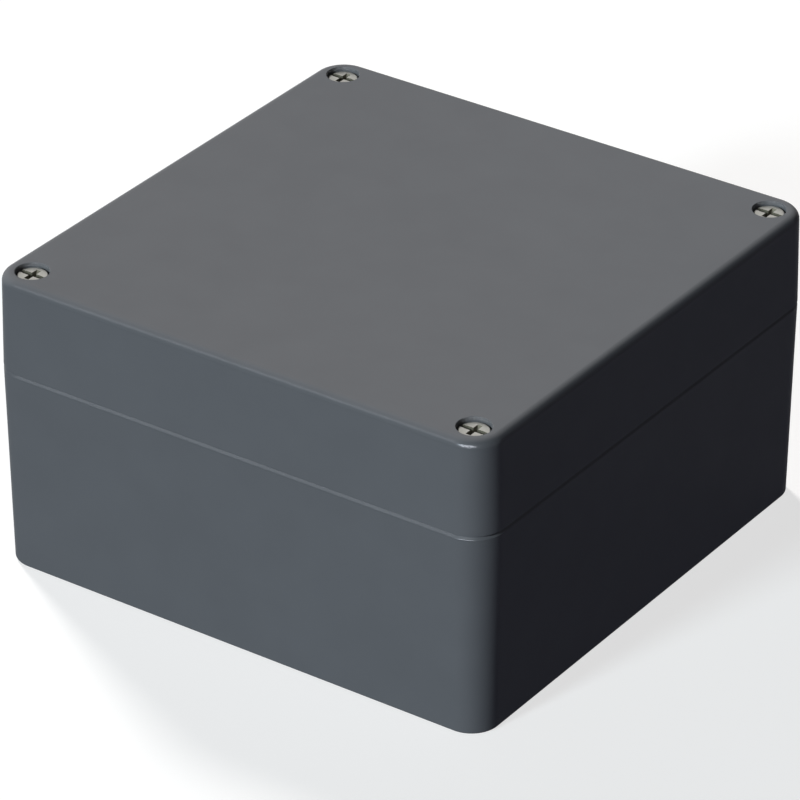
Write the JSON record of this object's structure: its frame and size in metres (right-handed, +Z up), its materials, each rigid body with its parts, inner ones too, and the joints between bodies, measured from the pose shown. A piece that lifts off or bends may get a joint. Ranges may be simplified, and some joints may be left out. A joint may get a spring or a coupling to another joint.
{
  "type": "die cast aluminium box",
  "caption": "Square sealed die cast enclosure: deep lift-off lid with captive corner screws, gasket in a groove, drafted base with wall fixing wells, board bosses and an earth terminal.",
  "frame": {"origin": "middle of the underside, on the surface that the box rests on or is fixed to", "axes": "+Z up through the lid, front face -Y, +X to the right"},
  "size_m": [0.16, 0.16, 0.0885],
  "materials": {
    "painted_casting": "satin",
    "gasket_rubber": "matte",
    "stainless_steel": "satin",
    "ring_nylon": "matte",
    "clamp_brass": "satin"
  },
  "bodies": {
    "base": {"base": "painted_casting", "earth_clamp": "clamp_brass", "earth_spring_washer": "stainless_steel"},
    "earth_screw": {"earth_screw": "stainless_steel"},
    "lid": {"lid": "painted_casting", "lid_gasket": "gasket_rubber", "retaining_ring_front_left": "ring_nylon", "retaining_ring_front_right": "ring_nylon", "retaining_ring_rear_left": "ring_nylon", "retaining_ring_rear_right": "ring_nylon"},
    "lid_screw_front_left": {"lid_screw_front_left": "stainless_steel"},
    "lid_screw_front_right": {"lid_screw_front_right": "stainless_steel"},
    "lid_screw_rear_left": {"lid_screw_rear_left": "stainless_steel"},
    "lid_screw_rear_right": {"lid_screw_rear_right": "stainless_steel"}
  },
  "joints": [
    {"name": "lid_lift", "type": "slide", "parent": "base", "child": "lid", "axis": [0, 0, 1], "range_m": [0, 0.12]},
    {"name": "earth_screw_turn", "type": "hinge", "parent": "base", "child": "earth_screw", "pos_m": [0.062, 0, 0.0152], "axis": [0, 0, 1], "continuous": true},
    {"name": "screw_turn_front_left", "type": "hinge", "parent": "lid", "child": "lid_screw_front_left", "pos_m": [-0.0711, -0.0711, 0.0841], "axis": [0, 0, 1], "continuous": true},
    {"name": "screw_turn_front_right", "type": "hinge", "parent": "lid", "child": "lid_screw_front_right", "pos_m": [0.0711, -0.0711, 0.0841], "axis": [0, 0, 1], "continuous": true},
    {"name": "screw_turn_rear_left", "type": "hinge", "parent": "lid", "child": "lid_screw_rear_left", "pos_m": [-0.0711, 0.0711, 0.0841], "axis": [0, 0, 1], "continuous": true},
    {"name": "screw_turn_rear_right", "type": "hinge", "parent": "lid", "child": "lid_screw_rear_right", "pos_m": [0.0711, 0.0711, 0.0841], "axis": [0, 0, 1], "continuous": true}
  ]
}
